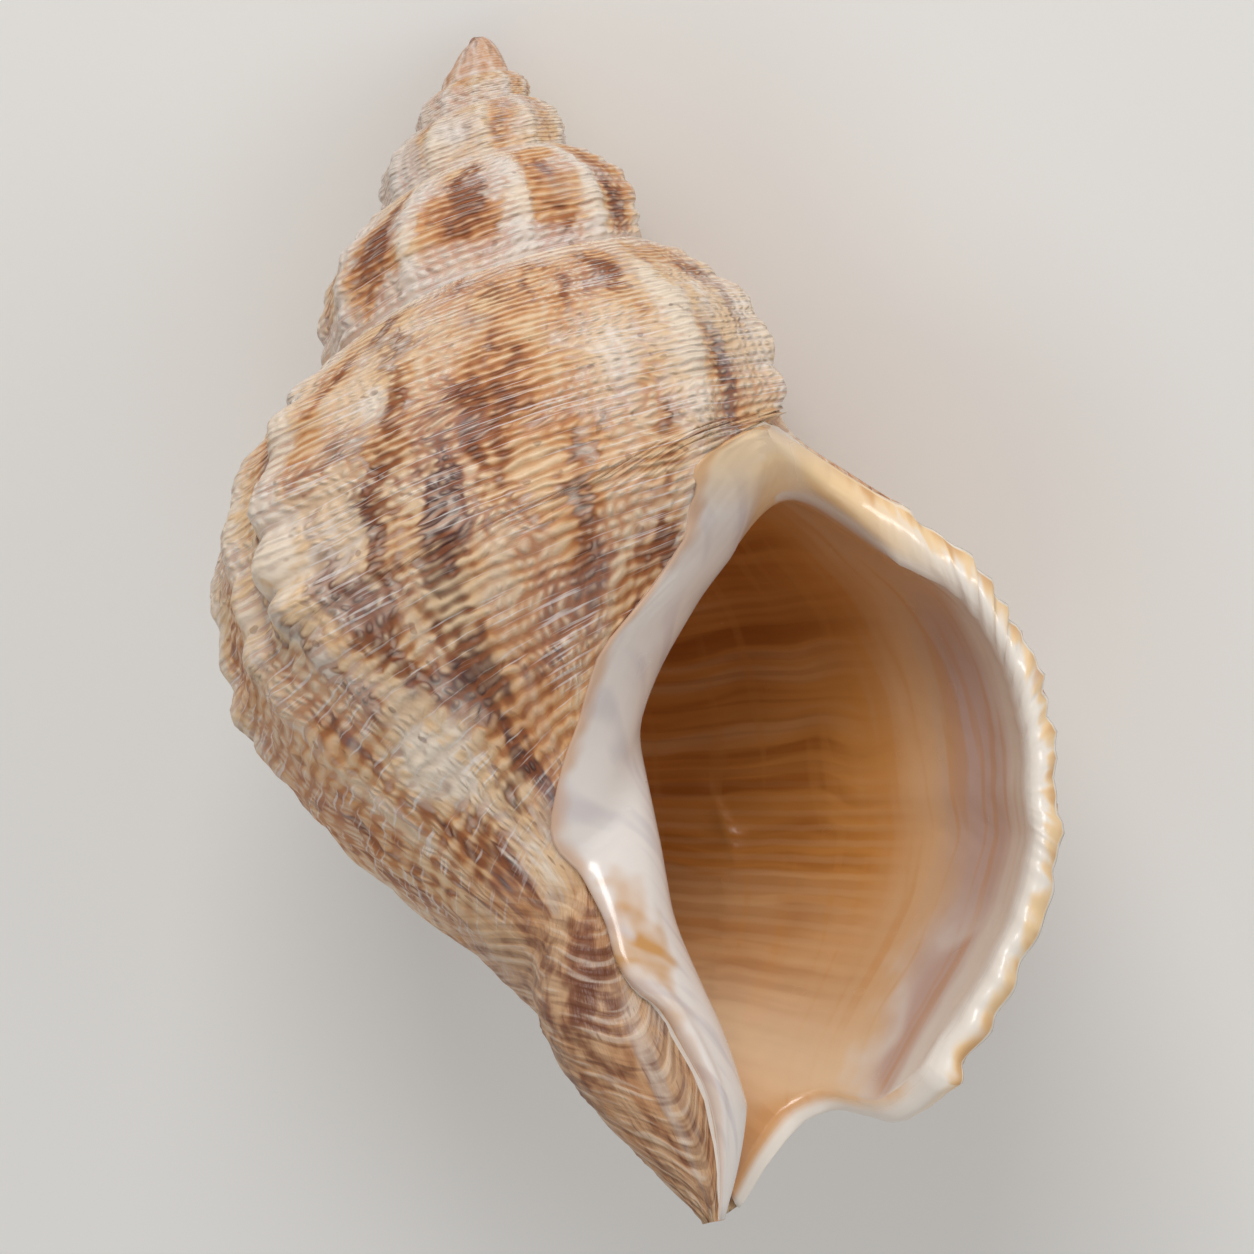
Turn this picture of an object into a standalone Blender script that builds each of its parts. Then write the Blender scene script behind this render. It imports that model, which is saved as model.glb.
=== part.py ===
"""A whelk shell: one hollow spiral wall, lying on its back with the mouth up."""

import bmesh
import bpy
import numpy as np

# The coil is worked out with its axis along Z, apex at the top and Z growing
# towards the base. Lengths are in millimetres and angles in whole turns: 0 is the
# plane of the outer lip and earlier growth is negative.

# Coil: where the suture runs
SUTURE_Z = 32.5          # height of the suture at the lip, below the cone's point
SUTURE_R = 17.8          # its distance from the axis there
GROWTH = 0.6707          # natural log of the growth in one turn
GROWTH_SLOWING = 0.0204  # how much faster the shell grew later on
CONE_BEND = 0.8886       # under 1 rounds the cone of the sutures outwards
TURNS = 6                # whorls from the apex to the lip
APEX_Z = 0.8             # height of the rounded apex

# Whorl outline: distance between sutures (0 and 1, base beyond 1) against the
# share by which the wall stands out from the cone of the sutures
PLACE = np.array([0, 0.15, 0.30, 0.45, 0.60, 0.75, 0.90, 1.0, 1.10, 1.28, 1.435, 1.545, 1.70, 1.85])
SWELL = np.array([0, 0.155, 0.225, 0.27, 0.23, 0.15, 0.06, 0, -0.135, -0.41, -0.66, -0.80, -0.93, -1])
BODY_SAG = 0.035         # the last whorl is this much slimmer at its middle
SAG_PLACE, SAG_REACH = 0.97, 0.17
SAG_FADE = 0.35          # of a turn over which the sag comes in
LIP_PINCH = 0.06         # the lip's lower part turns in by this share
PINCH_PLACE, PINCH_REACH = 1.1, 0.26
SHOULDER_PINCH = 0.035   # and its shoulder by this
SHOULDER_PLACE, SHOULDER_REACH = 0.3, 0.25
PINCH_TURN = 0.22        # over this much of the last whorl

# Axial folds on the spire, weak on the last whorl's front and full on its back
FOLDS = 12               # in one turn
FOLD_HEIGHT = 0.030      # share of the radius
FOLD_FIRST, FOLD_GROWING = 0.5, 1.5    # turns from the apex where the folds start and grow
FRONT_START, FRONT_END = -1.3, -0.45
FRONT_FADE = 0.5         # of a turn over which they go at the front
FOLD_FADE = 0.12         # of a turn over which the folds come and go near the lip
VARIX_TURN = -0.56       # an old thickened lip on the last whorl
VARIX_WIDTH = 0.03
VARIX_HEIGHT = 0.045
VARIX_TOP, VARIX_END, VARIX_FADE = 0.2, 1.2, 0.4

# Pillar in the middle, swelling at its foot
PILLAR_R = 2.4
PILLAR_CURVE = 0.9       # under 1 makes its narrowing blunter
PILLAR_TOP_Z = 60.0      # it narrows upwards from here
FOOT_R = 6.3
FOOT_START_Z, FOOT_FLARE = 57.0, 13.0
FOOT_LIP_R = 4.1         # the foot is slimmer on the lip's side, where it starts lower
FOOT_LIP_START_Z, FOOT_LIP_FLARE = 64.0, 10.0
FOOT_TOP_Z = 66.0        # from here the foot draws in to its tip
TIP_Z = 87.3
TIP_CUT_Z = 86.7         # the pillar's end is cut flat just short of its point
FOOT_LEAN = 3.2          # how far the tip stands to the lip's side of the axis
LEAN_START_Z, LEAN_END_Z = 70.0, 87.5
BLEND = 1.4              # radius of the hollow where the base meets the pillar

# Mouth
WALL = 1.6               # thickness just behind the lip
WALL_GROWTH = 0.4        # natural log of the wall's growth in one turn
LIP_WALL = 0.6           # the lip's edge is thicker by this
LIP_WIDTH = 0.06         # fading over this much of a turn
CALLUS = 1.7             # thickness of the glaze on the pillar's side of the mouth
CALLUS_EDGE = 0.45       # and at its spread edge
DEEP_GLAZE = 0.3         # and deep inside
GLAZE_TURN = 0.4         # it thins to that over this much of a turn
# how far the glaze spreads over the last whorl, against the share of the way down it
CALLUS_SHARE = np.array([0, 0.04, 0.10, 0.16, 0.24, 0.336, 0.41, 0.467, 0.56, 0.63, 0.70, 0.76, 0.88, 1])
CALLUS_TURN = np.array([0, 0.04, 0.10, 0.16, 0.23, 0.298, 0.345,
                        0.318, 0.27, 0.255, 0.195, 0.16, 0.135, 0.13])
# lower edge of the last whorl, back from the lip and round the canal's end
FOOT_EDGE_TURN = np.array([-1.0, -0.45, -0.32, -0.238, -0.208, -0.184,
                           -0.156, -0.130, -0.112, -0.074, -0.043, 0.0])
FOOT_EDGE_Z = np.array([86.7, 86.7, 86.6, 86.2, 85.7, 84.9, 82.3, 79.7, 79.2, 80.3, 81.3, 80.2])
OPEN_COLUMNS = 7         # mesh columns over which the canal's end is open
CANAL_OPENING = 0.13     # of a turn over which the canal's floor reaches the tip
CAVITY_END = 1.5         # the hollow reaches this place on the whorl outline
LEAST_GAP = 0.5          # the hollow starts where its two sides are this far apart
LEAST_WIDTH = 0.2        # and is never narrower than this
OUTLINE_END = 2.2        # place below every point of the outline
CORNER = 0.10            # share of the hollow's height over which its ends are rounded

# Mesh
STEPS = 36               # columns in one turn
UPPER_ROWS = 7
LOWER_ROWS = 13
ROW_CROWDING = 1.25      # over 1 brings the lower rows closer together at their top
GLAZE_FADE = 2.5         # how fast the columns beside the glaze straighten
UPPER_SHARE = 0.62       # of the hollow's outer side that faces the upper rows
CALLUS_COLUMNS = 6
CAVITY_COLUMNS = 45
OUTLINE_SAMPLES = 400    # points at which the hollow's outline is worked out
COLUMN_SAMPLES = 600     # and its gap is measured
LEAST_Z = 1e-6           # keeps the cone's point off zero

# The way that faces up when the shell lies on its back
UP = np.array([-0.2245, 0.8197, 0.5270])


def spline(xs, ys, at):
    """A smooth curve through the given points, its slopes taken from their neighbours."""
    slopes = np.gradient(ys, xs)
    i = np.clip(np.searchsorted(xs, at) - 1, 0, len(xs) - 2)
    width = xs[i + 1] - xs[i]
    u = np.clip((at - xs[i]) / width, 0, 1)
    start = ys[i] * (1 + 2 * u) * (1 - u) ** 2 + slopes[i] * width * u * (1 - u) ** 2
    return start + ys[i + 1] * u * u * (3 - 2 * u) + slopes[i + 1] * width * u * u * (u - 1)


def smooth(x):
    x = np.clip(x, 0, 1)
    return x * x * (3 - 2 * x)


def hump(x, middle, width):
    return np.exp(-(((x - middle) / width) ** 2))


def suture_z(turn):
    return SUTURE_Z * np.exp(GROWTH * turn + GROWTH_SLOWING * turn * turn)


def cone_r(z):
    return SUTURE_R * (np.maximum(z, LEAST_Z) / SUTURE_Z) ** CONE_BEND


def place_on_whorl(turn, z):
    """0 at the whorl's own suture, 1 at the next one down, more on the base."""
    top = suture_z(turn)
    return np.log(np.maximum(z, LEAST_Z) / top) / np.log(suture_z(turn + 1) / top)


def fold_relief(turn, place):
    """Axial folds, and the old lip standing across the last whorl."""
    between = np.clip(place * (1 - place) * 4, 0, 1)
    folds = np.cos(2 * np.pi * FOLDS * turn) * FOLD_HEIGHT * between
    varix = hump(turn, VARIX_TURN, VARIX_WIDTH) * VARIX_HEIGHT
    varix = varix * smooth(place / VARIX_TOP) * smooth((VARIX_END - place) / VARIX_FADE)
    spire = 1 - smooth((turn - FRONT_START) / FRONT_FADE)
    back = smooth((turn - FRONT_END) / FOLD_FADE) * smooth(-turn / FOLD_FADE)
    return folds * (spire + back) * smooth((turn + TURNS - FOLD_FIRST) / FOLD_GROWING) + varix


def body_r(turn, z):
    place = place_on_whorl(turn, z)
    stand = spline(PLACE, SWELL, place) + fold_relief(turn, place)
    lip = np.clip(1 + turn / PINCH_TURN, 0, 1) ** 2
    pinch = LIP_PINCH * smooth((place - PINCH_PLACE) / PINCH_REACH)
    pinch = pinch + SHOULDER_PINCH * hump(place, SHOULDER_PLACE, SHOULDER_REACH)
    sag = BODY_SAG * hump(place, SAG_PLACE, SAG_REACH) * smooth((turn + 1) / SAG_FADE)
    return cone_r(z) * np.maximum(1 + stand - pinch * lip - sag, 0)


def pillar_r(turn, z):
    down = np.clip((z - FOOT_TOP_Z) / (TIP_Z - FOOT_TOP_Z), 0, 1)
    foot = FOOT_R * (1 - down * down) ** PILLAR_CURVE
    away = 0.5 - 0.5 * np.cos(2 * np.pi * turn)
    neck = PILLAR_R * np.clip(z / PILLAR_TOP_Z, 0, 1) ** PILLAR_CURVE
    swollen = neck + away * (FOOT_R - PILLAR_R) * smooth((z - FOOT_START_Z) / FOOT_FLARE)
    lip_side = (FOOT_LIP_R - PILLAR_R) * smooth((z - FOOT_LIP_START_Z) / FOOT_LIP_FLARE)
    return np.minimum(foot, swollen + (1 - away) * lip_side)


def outer_r(turn, z):
    """Distance of the outside from the leaning axis."""
    a = body_r(turn, z)
    b = pillar_r(turn, z)
    h = np.clip(0.5 + 0.5 * (a - b) / BLEND, 0, 1)
    return b + (a - b) * h + BLEND * h * (1 - h)


def foot_edge_z(turn):
    return spline(FOOT_EDGE_TURN, FOOT_EDGE_Z, turn)


def point(turn, z, r):
    lean = FOOT_LEAN * smooth((z - LEAN_START_Z) / (LEAN_END_Z - LEAN_START_Z))
    angle = 2 * np.pi * turn
    return np.stack([lean + r * np.cos(angle), r * np.sin(angle), z + 0 * r], axis=-1)


def edge_z(turn):
    """Height of a whorl's lower edge: on the first whorl it starts from the apex."""
    return APEX_Z + (suture_z(turn + 1) - APEX_Z) * smooth(turn + TURNS)


def edge_r(turn):
    return cone_r(edge_z(turn)) * np.sin(np.clip(turn + TURNS, 0, 1) * np.pi / 2)


def spire_points():
    """Outside from suture to suture, one row of points for each step of the coil."""
    turn = np.arange(TURNS * STEPS + 1)[:, None] / STEPS - TURNS
    share = np.linspace(0, 1, UPPER_ROWS + 1)[None, :]
    above = np.maximum(turn - 1, -TURNS)
    z = edge_z(above) ** (1 - share) * edge_z(turn) ** share
    r = outer_r(turn + 0 * share, z)
    # the first whorl is a small dome and the second grows out of it
    dome_z = edge_z(above) + (edge_z(turn) - edge_z(above)) * (1 - np.cos(share * np.pi / 2))
    dome_r = edge_r(above) + (edge_r(turn) - edge_r(above)) * np.sin(share * np.pi / 2)
    grown = smooth(turn + TURNS - 1)
    return point(turn + 0 * share, dome_z + (z - dome_z) * grown, dome_r + (r - dome_r) * grown)


def row_shares():
    """Rows of the last whorl's lower part, closer together at the top."""
    return np.linspace(0, 1, LOWER_ROWS + 1) ** ROW_CROWDING


def base_points():
    """Outside of the last whorl below the suture's line, from the glaze to the lip."""
    along = np.linspace(0, 1, STEPS + 1)[:, None]
    share = row_shares()[None, :]
    turn = along - 1 + spline(CALLUS_SHARE, CALLUS_TURN, share) * (1 - along) ** GLAZE_FADE
    top = suture_z(turn + 1)
    z = top + (foot_edge_z(turn) - top) * share
    return point(turn, z, outer_r(turn, z))


def wall(turn):
    return WALL * np.exp(WALL_GROWTH * turn) + LIP_WALL * np.exp(np.minimum(turn, 0) / LIP_WIDTH)


def inner_r(core, z, glaze):
    """The hollow's inner side: the whorl before, or the pillar, with its glaze."""
    return outer_r(core, z) + glaze


def glaze_on(turn):
    return DEEP_GLAZE + (CALLUS - DEEP_GLAZE) * smooth((turn + GLAZE_TURN) / GLAZE_TURN)


def rounded(distance):
    """1 inside and falling to 0 at the end, along a quarter circle."""
    return np.sqrt(1 - (1 - np.clip(distance / CORNER, 0, 1)) ** 2)


def hollow_outline(turn, shut):
    """Radius of the hollow's outer side against height, in the half plane at this turn."""
    lowest = foot_edge_z(turn)
    place = np.linspace(0, CAVITY_END if shut else OUTLINE_END, OUTLINE_SAMPLES)
    z = suture_z(turn) ** (1 - place) * suture_z(turn + 1) ** place
    z = z if shut else np.append(z[z <= lowest], lowest)
    z = z[z <= lowest]
    r = outer_r(turn + 0 * z, z)
    slope = np.gradient(r, z)
    length = np.sqrt(1 + slope * slope)
    wall_z = z + wall(turn) * slope / length
    wall_r = r - wall(turn) / length
    order = np.argsort(wall_z)
    return wall_z[order], wall_r[order]


def cavity_column(turn, shut):
    """The hollow's two sides in the half plane at this turn, each from the top down."""
    wall_z, wall_r = hollow_outline(turn, shut)

    def outer(z):
        return np.interp(z, wall_z, wall_r)

    def inner(z):
        return inner_r(turn - 1 + 0 * z, z, glaze_on(turn))

    fine = np.linspace(suture_z(turn), wall_z[-1], COLUMN_SAMPLES)
    open_at = np.nonzero(outer(fine) - inner(fine) > LEAST_GAP)[0]
    top = fine[open_at[0]]
    end = min(wall_z[-1], fine[open_at[-1]]) if shut else wall_z[-1]
    opened = 0 if shut else smooth((turn + OPEN_COLUMNS / STEPS) / CANAL_OPENING)
    end_in = end + (TIP_CUT_Z - end) * opened
    down_in = row_shares()
    down_out = np.concatenate([UPPER_SHARE * np.linspace(0, 1, UPPER_ROWS + 1)[:-1],
                               UPPER_SHARE + (1 - UPPER_SHARE) * down_in])
    sides = []
    for down, low, sign in ((down_out, end, 1), (down_in, end_in, -1)):
        z = top + (low - top) * down
        round_end = rounded(1 - down) if shut else 1
        near = np.minimum(z, end)
        middle = (inner(near) + outer(near)) / 2
        half = np.maximum(outer(near) - inner(near), LEAST_WIDTH) / 2
        r = middle + sign * half * rounded(down) * round_end
        r = np.where(z > end, inner(z), r)
        sides.append(point(turn + 0 * z, z, r))
    return sides[0], sides[1], top


def glaze_points(corner_drop):
    """The glaze spread over the last whorl's front, from the pillar's side to its edge."""
    across = np.linspace(0, 1, CALLUS_COLUMNS + 1)[1:, None]
    share = row_shares()[None, :]
    turn = -1 + spline(CALLUS_SHARE, CALLUS_TURN, share) * across
    top = suture_z(turn + 1) + corner_drop * (1 - across) ** 2
    z = top + (foot_edge_z(turn) - top) * share
    thick = CALLUS + (CALLUS_EDGE - CALLUS) * across
    return point(turn, z, inner_r(turn, z, thick))


def bridge(a, b):
    """Triangles between two chains of points that run the same way."""
    faces = []
    i = j = 0
    while i < len(a) - 1 or j < len(b) - 1:
        take_a = i < len(a) - 1 and (i + 1) / (len(a) - 1) <= (j + 1) / max(len(b) - 1, 1)
        if take_a or j == len(b) - 1:
            faces.append((a[i], a[i + 1], b[j]))
            i += 1
        else:
            faces.append((a[i], b[j + 1], b[j]))
            j += 1
    return faces


def grid_faces(ids):
    a, b, c, d = ids[:-1, :-1], ids[1:, :-1], ids[1:, 1:], ids[:-1, 1:]
    quads = np.stack([a, b, c, d], axis=-1).reshape(-1, 4)
    return [tuple(dict.fromkeys(quad)) for quad in quads.tolist()]


def shell_mesh():
    """Points and faces of the whole shell, coil upright."""
    points = []
    taken = 0

    def add(grid):
        nonlocal taken
        points.append(grid.reshape(-1, 3))
        ids = taken + np.arange(grid[..., 0].size).reshape(grid.shape[:-1])
        taken += ids.size
        return ids

    spire = add(spire_points())
    spire[0, :] = spire[0, 0]
    spire[:STEPS, 0] = spire[0, 0]
    for column in range(STEPS, TURNS * STEPS + 1):
        spire[column, 0] = spire[column - STEPS, -1]
    base = add(base_points())
    base[:, 0] = spire[(TURNS - 1) * STEPS:, -1]

    outer_side, inner_side = [], []
    for step in range(-CAVITY_COLUMNS, 1):
        shut = step <= -OPEN_COLUMNS
        side_out, side_in, top = cavity_column(step / STEPS, shut)
        out_ids, in_ids = add(side_out), add(side_in)
        in_ids[0] = out_ids[0]
        if shut:
            in_ids[-1] = out_ids[-1]
        outer_side.append(out_ids)
        inner_side.append(in_ids)
    outer_side, inner_side = np.array(outer_side), np.array(inner_side)
    glaze = add(glaze_points(top - SUTURE_Z))
    glaze[:, 0] = inner_side[-1, 0]
    inner_side = np.concatenate([inner_side, glaze])

    faces = grid_faces(spire) + grid_faces(base)
    faces += grid_faces(outer_side) + grid_faces(inner_side)
    faces += bridge(outer_side[0].tolist(), inner_side[0].tolist())

    split = CAVITY_COLUMNS - OPEN_COLUMNS
    lip_out = np.concatenate([spire[-1], base[-1, 1:]])
    foot_out = base[::-1, -1]
    faces += grid_faces(np.array([lip_out, outer_side[-1]]))
    faces += grid_faces(np.array([foot_out[:OPEN_COLUMNS + 1], outer_side[split:, -1][::-1]]))
    faces += bridge(foot_out[OPEN_COLUMNS:].tolist(), inner_side[split:, -1].tolist())
    faces += grid_faces(np.array([base[0], inner_side[-1]]))
    faces = [face for face in faces if len(set(face)) > 2]

    used = np.unique(np.concatenate([np.array(face) for face in faces]))
    renumber = np.zeros(taken, int)
    renumber[used] = np.arange(len(used))
    return np.concatenate(points)[used], [tuple(renumber[list(face)].tolist()) for face in faces]


def laid_down(points):
    """The shell turned to its rest, apex towards +Y, standing on Z = 0, in metres."""
    up = UP / np.linalg.norm(UP)
    ahead = np.array([0, 0, -1.0])
    ahead -= up * (ahead @ up)
    ahead /= np.linalg.norm(ahead)
    side = np.cross(ahead, up)
    placed = points @ np.array([side, ahead, up]).T
    low, high = placed.min(axis=0), placed.max(axis=0)
    middle = np.array([(low[0] + high[0]) / 2, (low[1] + high[1]) / 2, low[2]])
    return (placed - middle) * 0.001


# Clear the scene and build the one solid
for thing in list(bpy.data.objects):
    bpy.data.objects.remove(thing, do_unlink=True)

points, faces = shell_mesh()
mesh = bpy.data.meshes.new("shell")
mesh.from_pydata(laid_down(points).tolist(), [], faces)
work = bmesh.new()
work.from_mesh(mesh)
bmesh.ops.recalc_face_normals(work, faces=work.faces)
work.to_mesh(mesh)
work.free()
mesh.shade_smooth()

material = bpy.data.materials.new("shell")
material.use_nodes = True
surface = material.node_tree.nodes["Principled BSDF"]
surface.inputs["Base Color"].default_value = (0.62, 0.46, 0.30, 1)
surface.inputs["Roughness"].default_value = 0.5
mesh.materials.append(material)

parts = bpy.data.collections.new("whelk_shell")
bpy.context.scene.collection.children.link(parts)
shell = bpy.data.objects.new("shell", mesh)
parts.objects.link(shell)
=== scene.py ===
import bmesh
import bpy
import numpy as np
from mathutils import Matrix, Vector


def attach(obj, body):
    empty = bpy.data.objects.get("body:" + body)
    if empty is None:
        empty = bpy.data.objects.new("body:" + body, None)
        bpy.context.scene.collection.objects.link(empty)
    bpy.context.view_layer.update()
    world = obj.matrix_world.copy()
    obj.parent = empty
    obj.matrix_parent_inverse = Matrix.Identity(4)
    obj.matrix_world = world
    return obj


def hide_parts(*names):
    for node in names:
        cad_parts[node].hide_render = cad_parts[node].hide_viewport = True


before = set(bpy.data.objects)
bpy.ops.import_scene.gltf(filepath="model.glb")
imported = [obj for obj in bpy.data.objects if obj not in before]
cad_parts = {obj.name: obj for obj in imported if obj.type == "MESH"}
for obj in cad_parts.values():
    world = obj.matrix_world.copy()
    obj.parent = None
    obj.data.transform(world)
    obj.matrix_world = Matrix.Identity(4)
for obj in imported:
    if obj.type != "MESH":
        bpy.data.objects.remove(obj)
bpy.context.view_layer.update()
print("frame loaded")

# The shell is worked out round its own axis: Z from the apex to the canal, lengths in
# millimetres. Turn counts whole turns, 0 at the lip and negative for older growth; place
# is 0 at a whorl's own suture, 1 at the next one and up to 2.2 at the foot.

coil = {
    "sutureHeight": 32.5,      # where the suture meets the lip
    "sutureRadius": 17.8,
    "growth": 0.6707,          # natural log of the growth in one turn
    "growthSlowing": 0.0204,
    "coneBend": 0.8886,
    "turns": 6,
    "apexHeight": 0.1,
    "bodySag": 0.035,          # these four draw the wall in, as shares of the radius
    "lipPinch": 0.06,
    "shoulderPinch": 0.035,
    "pinchTurn": 0.22,
}
# how far the wall stands out from the cone of the sutures, down the whorl
outlinePlace = np.array([0, 0.15, 0.30, 0.45, 0.60, 0.75, 0.90, 1.0, 1.10, 1.28, 1.435, 1.545, 1.70, 1.85])
outlineSwell = np.array([0, 0.155, 0.225, 0.27, 0.23, 0.15, 0.06, 0, -0.135, -0.41, -0.66, -0.80, -0.93, -1])
footPlace = 2.2  # the place that the lowest points reach

pillar = {
    "radius": 2.4, "topHeight": 60.0,
    "footRadius": 6.3, "footStart": 57.0, "footFlare": 13.0,
    "lipSideRadius": 4.1, "lipSideStart": 64.0, "lipSideFlare": 10.0,
    "footTop": 66.0, "tipHeight": 87.3, "tipCut": 86.7,
    "lean": 3.2, "leanStart": 70.0, "leanEnd": 87.5, "apexLean": 0.75, "apexReach": 9.0,
    "blend": 1.4,
}

mouth = {
    "wall": 1.6, "wallGrowth": 0.4, "lipWall": 0.6, "shoulderWall": 1.7, "footWall": 0.3, "lipWidth": 0.06,
    "glaze": 1.7, "glazeEdge": 0.5, "freeEdge": 0.45, "deepGlaze": 0.3, "glazeTurn": 0.4,
    "glazeRelief": 0.12,       # share of the relief beneath that the glaze still shows
    "canalOpening": 0.13, "hollowEnd": 1.5, "cornerLift": 0.045, "leastGap": 0.5, "topGap": 3.0,
    "corner": 0.10,
}
# spread of the glaze over the last whorl, against the share of the way down it
glazeShare = np.array([0, 0.012, 0.03, 0.086, 0.141, 0.186, 0.208, 0.239, 0.277, 0.336, 0.41, 0.467, 0.558,
                       0.625, 0.67, 0.71, 0.762, 0.817, 0.885, 0.947, 1])
glazeSpread = np.array([0, 0.075, 0.128, 0.150, 0.152, 0.182, 0.214, 0.232, 0.250, 0.298, 0.346, 0.320, 0.272,
                        0.258, 0.228, 0.184, 0.160, 0.144, 0.134, 0.136, 0.13])
# lower edge of the last whorl, from the pillar's back round the canal to the lip
footEdgeTurn = np.array([-1.0, -0.45, -0.32, -0.238, -0.208, -0.184, -0.156, -0.130, -0.112, -0.074,
                         -0.043, 0.0])
footEdgeHeight = np.array([86.7, 86.7, 86.6, 86.2, 85.7, 84.9, 82.3, 79.7, 79.2, 80.3, 81.3, 80.2])

# ribs run down the whorls; their numbers are counted along the turns
ribs = {
    "turn": np.array([-6, -1.945, -1.865, -1.778, -1.663, -0.945, -0.855, -0.603, -0.552, -0.4167,
                      -0.3333, 0.0]),
    "number": np.array([-48, -3, -2, -1, 0, 8, 9, 12, 13, 15, 16, 20]),
    "height": 0.056, "sharpness": 1.5, "hollow": 0.62,
    "behind": 0.85, "front": 0.12,               # strength on the last whorl, 1 on the spire
    "varixTurn": -0.603, "varixWidth": 0.020, "varixHeight": 0.066, "varixWaver": 0.010,
}
# stronger cords run round the whorls, at these places between the sutures
cords = {
    "place": np.array([0, 0.13, 0.26, 0.40, 0.68, 0.856, 0.98, 1.10, 1.22, 1.34, 1.46, 1.6, 2.2]),
    "height": 0.008, "knob": 0.028, "varixKnob": 2.20, "hollow": 0.25,
    "topCord": 0.020, "topPlace": 0.055, "topBeads": 46,
    "lipScallops": 17.0, "lipScallopDepth": 0.17, "lipScallopReach": 0.012,
    "unevenness": 0.004, "pebbles": 0.0055,
}

meshSize = {
    "steps": 252,                                # columns in one turn
    "spireRows": [8, 12, 18, 30, 44, 64],        # rows of each whorl, apex first
    "lowerRows": 64, "outlineRows": 400, "searchRows": 600,
    "hollowSteps": 126, "hollowColumns": 157, "openColumns": 25,
    "glazeColumns": 24, "rimRows": 12,
    "upperShare": 0.62, "crowding": 1.25, "fade": 2.5,
}
lipTurns = meshSize["openColumns"] / meshSize["hollowSteps"]
tau = 2 * np.pi


# blend of two values: the first plus the share of the difference
def mixed(a, b, share):
    return a + (b - a) * share


# curve through given points, slopes taken from the neighbours
def spline(xs, ys, at):
    slopes = np.gradient(ys, xs)
    i = np.clip(np.searchsorted(xs, at) - 1, 0, len(xs) - 2)
    width = xs[i + 1] - xs[i]
    u = np.clip((at - xs[i]) / width, 0, 1)
    start = ys[i] * (1 + 2 * u) * (1 - u) ** 2 + slopes[i] * width * u * (1 - u) ** 2
    return start + ys[i + 1] * u * u * (3 - 2 * u) + slopes[i + 1] * width * u * u * (u - 1)


# 0 to 1 with level ends: x squared times (3 - 2x)
def smooth(x):
    x = np.clip(x, 0, 1)
    return x * x * (3 - 2 * x)


# bell curve: e to the minus squared distance from the middle
def hump(x, middle, width):
    return np.exp(-(((x - middle) / width) ** 2))


# height of the suture grows by the same share each turn, a little faster later on
def sutureHeight(turn):
    return coil["sutureHeight"] * np.exp(coil["growth"] * turn + coil["growthSlowing"] * turn * turn)


# radius of the cone of the sutures: a power of the height
def coneRadius(height):
    return coil["sutureRadius"] * (np.maximum(height, 1e-6) / coil["sutureHeight"]) ** coil["coneBend"]


# 0 at the whorl's own suture and 1 at the next, by the log of the height
def placeOnWhorl(turn, height):
    top = sutureHeight(turn)
    return np.log(np.maximum(height, 1e-6) / top) / np.log(sutureHeight(turn + 1) / top)


# slow unevenness of grown lime: a few crossing sine waves
def unevenness(turn, place):
    full = 6.283  # radians in a turn, near enough
    a = np.sin(9.1 * turn * full + 5 * place + 1.7 * np.sin(3.3 * turn * full))
    b = np.sin(4.3 * turn * full - 7 * place + 2.0)
    c = np.sin(23 * turn * full + 3 * np.sin(6 * place))
    return (a + b + 0.6 * c) / 2.6


# low bumps about 2 mm apart, fewer on the small whorls: two sine waves crossed, lines bent
def pebbles(turn, place):
    bent = 1.3 * np.sin(tau * 3.1 * place + 9 * np.sin(tau * 2.3 * turn)) + 2.2 * np.sin(11 * place)
    late = smooth((turn + 1.2) / 0.3)
    across = mixed(np.sin(tau * 6.5 * place + bent), np.sin(tau * 14.5 * place + bent), late)
    along = mixed(np.sin(tau * 37 * turn + bent), np.sin(tau * 53 * turn + bent), late)
    return along * across


# 1 on the crest of a rib and near 0 between: a sharpened cosine of the ribs counted
def ribCrest(turn):
    number = np.interp(turn, ribs["turn"], ribs["number"])
    return np.exp(ribs["sharpness"] * (np.cos(tau * number) - 1))


# how strong the ribs are: full on the spire, faint on the last whorl's front, back again behind
def ribStrength(turn):
    spire = 1 - smooth((turn + 0.90) / 0.14)
    behind = smooth((turn + 0.64) / 0.05) * smooth((-0.02 - turn) / 0.12)
    early = smooth((turn + coil["turns"] - 0.6) / 0.8)
    return np.maximum(np.maximum(spire, ribs["behind"] * behind), ribs["front"]) * early


# turns past the middle of the old lip, which wavers as it crosses the whorl
def pastVarix(turn, place):
    return turn - ribs["varixTurn"] - ribs["varixWaver"] * np.sin(9 * place)


# 1 on a stronger cord and 0 between: a row of rounded arches
def cordCrest(place):
    number = np.interp(place, cords["place"], np.arange(len(cords["place"])))
    return np.abs(np.cos(np.pi * number))


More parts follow.
